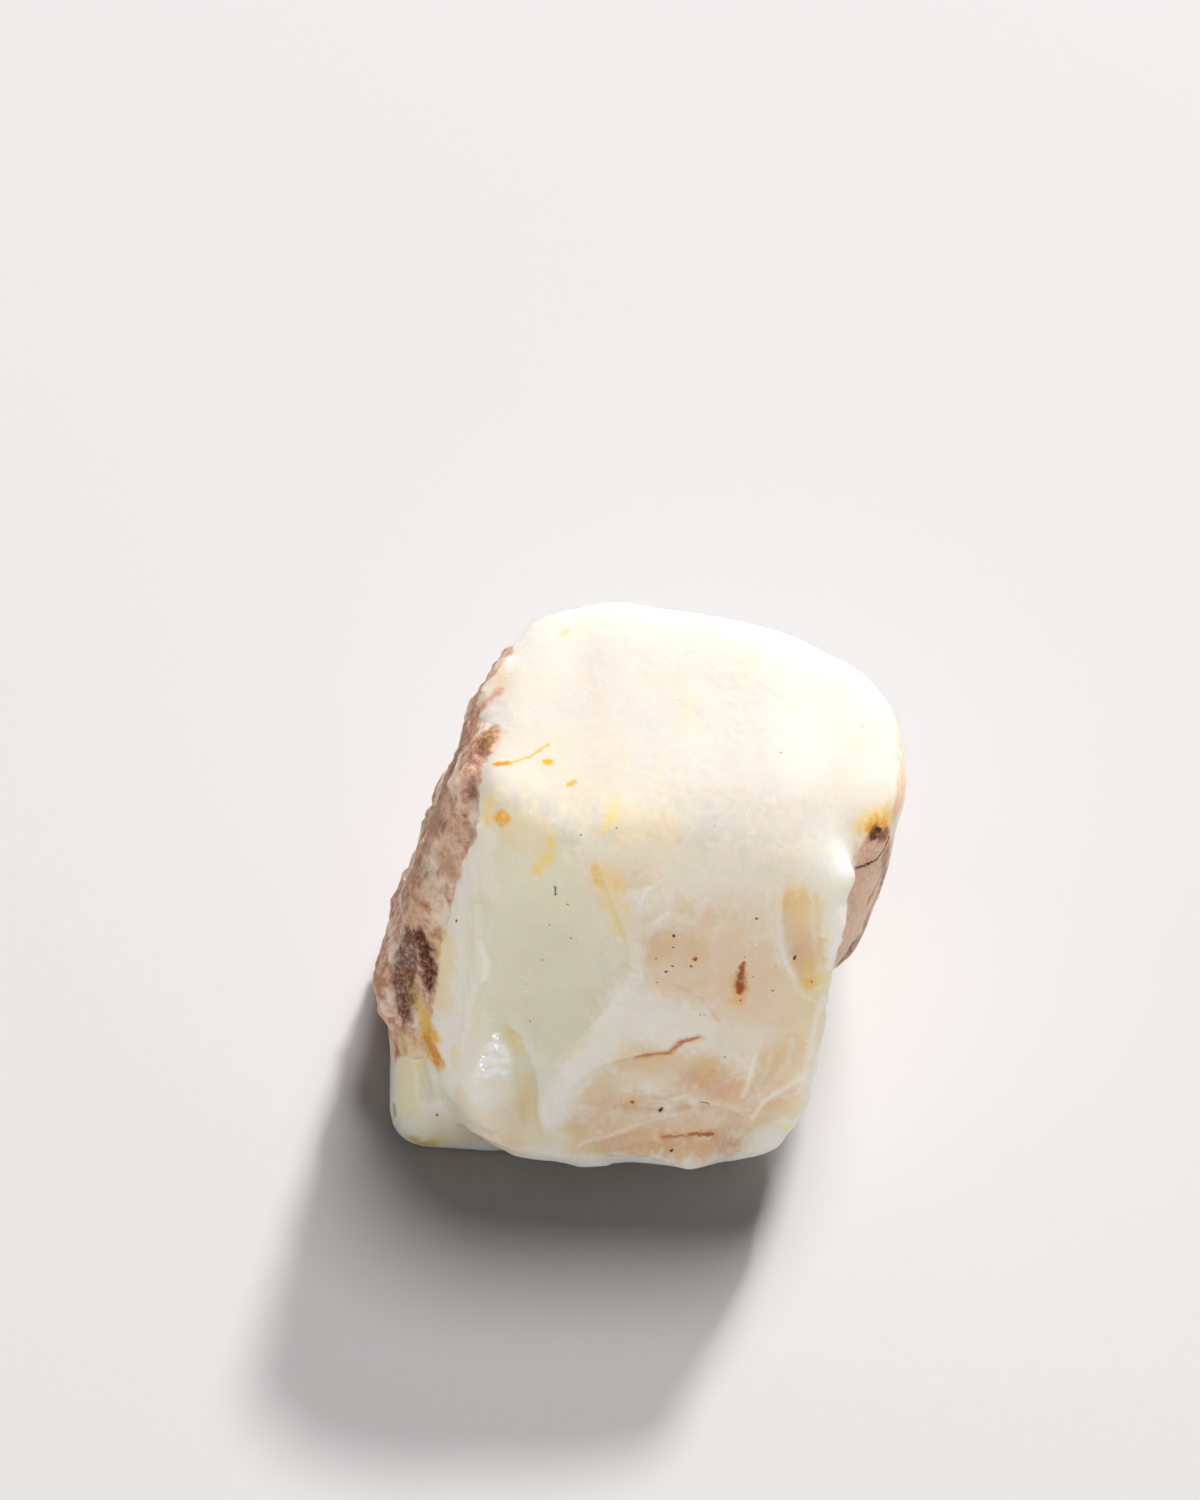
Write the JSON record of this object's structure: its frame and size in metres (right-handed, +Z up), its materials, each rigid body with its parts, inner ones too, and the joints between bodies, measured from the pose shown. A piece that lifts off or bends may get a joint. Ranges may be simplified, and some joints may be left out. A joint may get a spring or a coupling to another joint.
{
  "type": "rough opal",
  "caption": "Rough lump of milky white opal with brown host rock on its sides, a mineral specimen that rests on its own flat broken underside",
  "frame": {"origin": "on the resting plane, under the middle of the stone's bounding box", "axes": "+Z up from the resting face, +X to the right of the greenish and beige front, which is the stone's longest way, and -Y out of that front, towards the viewer"},
  "size_m": [0.035, 0.0312, 0.0309],
  "materials": {
    "opal": "waxy milky opal, smooth on its breaks, with rough brown host rock on its left side, back and right recess"
  },
  "bodies": {
    "root": {"rough_opal": "opal"}
  },
  "joints": []
}
